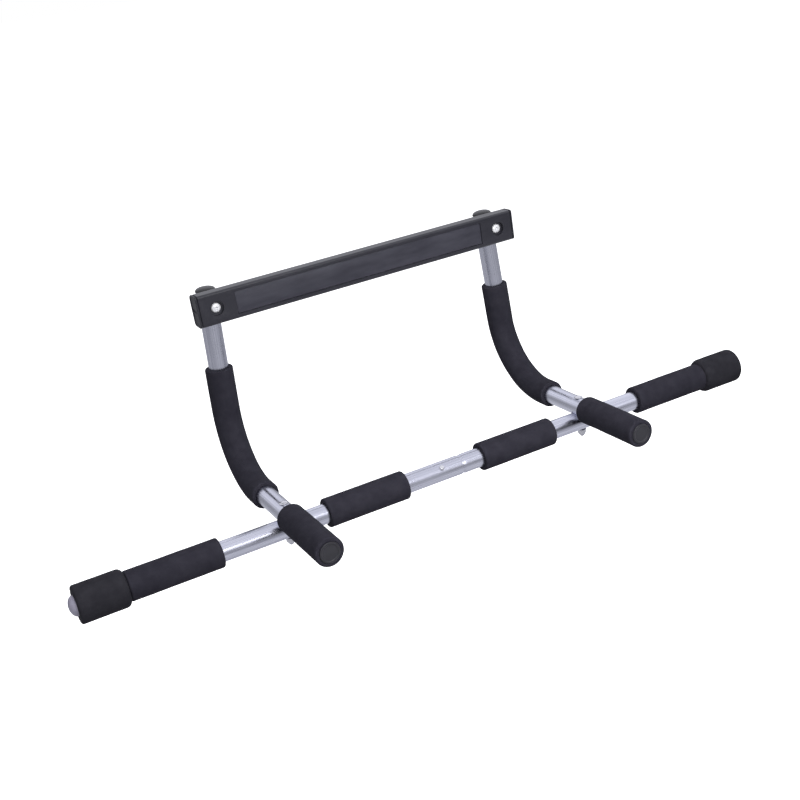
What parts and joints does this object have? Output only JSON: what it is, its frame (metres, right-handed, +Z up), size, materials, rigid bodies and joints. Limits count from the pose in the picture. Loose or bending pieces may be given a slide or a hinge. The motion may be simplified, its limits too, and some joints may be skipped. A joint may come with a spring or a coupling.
{
  "type": "pull up bar",
  "caption": "Doorway pull up bar: foam-gripped long bar with end bumpers, curved padded arms that end in forward handles, and a dark crossbar that rests on the door trim.",
  "frame": {"origin": "middle of the crossbar's underside, where it rests on the door trim", "axes": "+X along the long bar to the user's right as they face the doorway, -Y towards the user and the handles, +Z up"},
  "size_m": [0.956, 0.3238, 0.2882],
  "materials": {
    "plated_steel": "bright satin plating with fine lengthwise streaks",
    "button_steel": "polished",
    "spring_steel": "blued spring steel",
    "crossbar_plastic": "satin moulded plastic",
    "painted_core": "black paint",
    "cap_plastic": "satin moulded plastic",
    "pad_rubber": "fine grained rubber",
    "bright_fasteners": "bright zinc",
    "bumper_foam": "closed-cell foam, matt",
    "grip_foam": "closed-cell foam, matt",
    "grey_plug": "smooth moulded plastic",
    "handle_cap_plastic": "fine satin grain",
    "black_cap_plastic": "smooth moulded plastic"
  },
  "bodies": {
    "frame": {"long_bar_left": "plated_steel", "long_bar_right": "plated_steel", "button_spring": "spring_steel", "curved_arm_left": "plated_steel", "curved_arm_right": "plated_steel", "crossbar_shell": "crossbar_plastic", "crossbar_core": "painted_core", "crossbar_end_cap_left": "cap_plastic", "crossbar_end_cap_right": "cap_plastic", "wall_pad": "pad_rubber", "crossbar_bolts": "bright_fasteners", "crossbar_washers": "bright_fasteners", "crossbar_nuts": "bright_fasteners", "crossing_bolts": "bright_fasteners", "crossing_washers": "bright_fasteners", "crossing_nuts": "bright_fasteners", "end_bumper_left": "bumper_foam", "end_bumper_right": "bumper_foam", "outer_grip_left": "grip_foam", "outer_grip_right": "grip_foam", "inner_grip_left": "grip_foam", "inner_grip_right": "grip_foam", "arm_sleeve_left": "grip_foam", "arm_sleeve_right": "grip_foam", "handle_grip_left": "grip_foam", "handle_grip_right": "grip_foam", "bar_end_plug_left": "grey_plug", "bar_end_plug_right": "grey_plug", "handle_end_cap_left": "handle_cap_plastic", "handle_end_cap_right": "handle_cap_plastic", "arm_top_cap_left": "black_cap_plastic", "arm_top_cap_right": "black_cap_plastic"},
    "button": {"snap_button": "button_steel"}
  },
  "joints": [
    {"name": "button_press", "type": "slide", "parent": "frame", "child": "button", "axis": [0, -0.7431, 0.6691], "range_m": [-0.0048, 0], "stiffness_N_per_m": 900, "springref_m": 0.002, "deforming": ["button_spring"]}
  ]
}
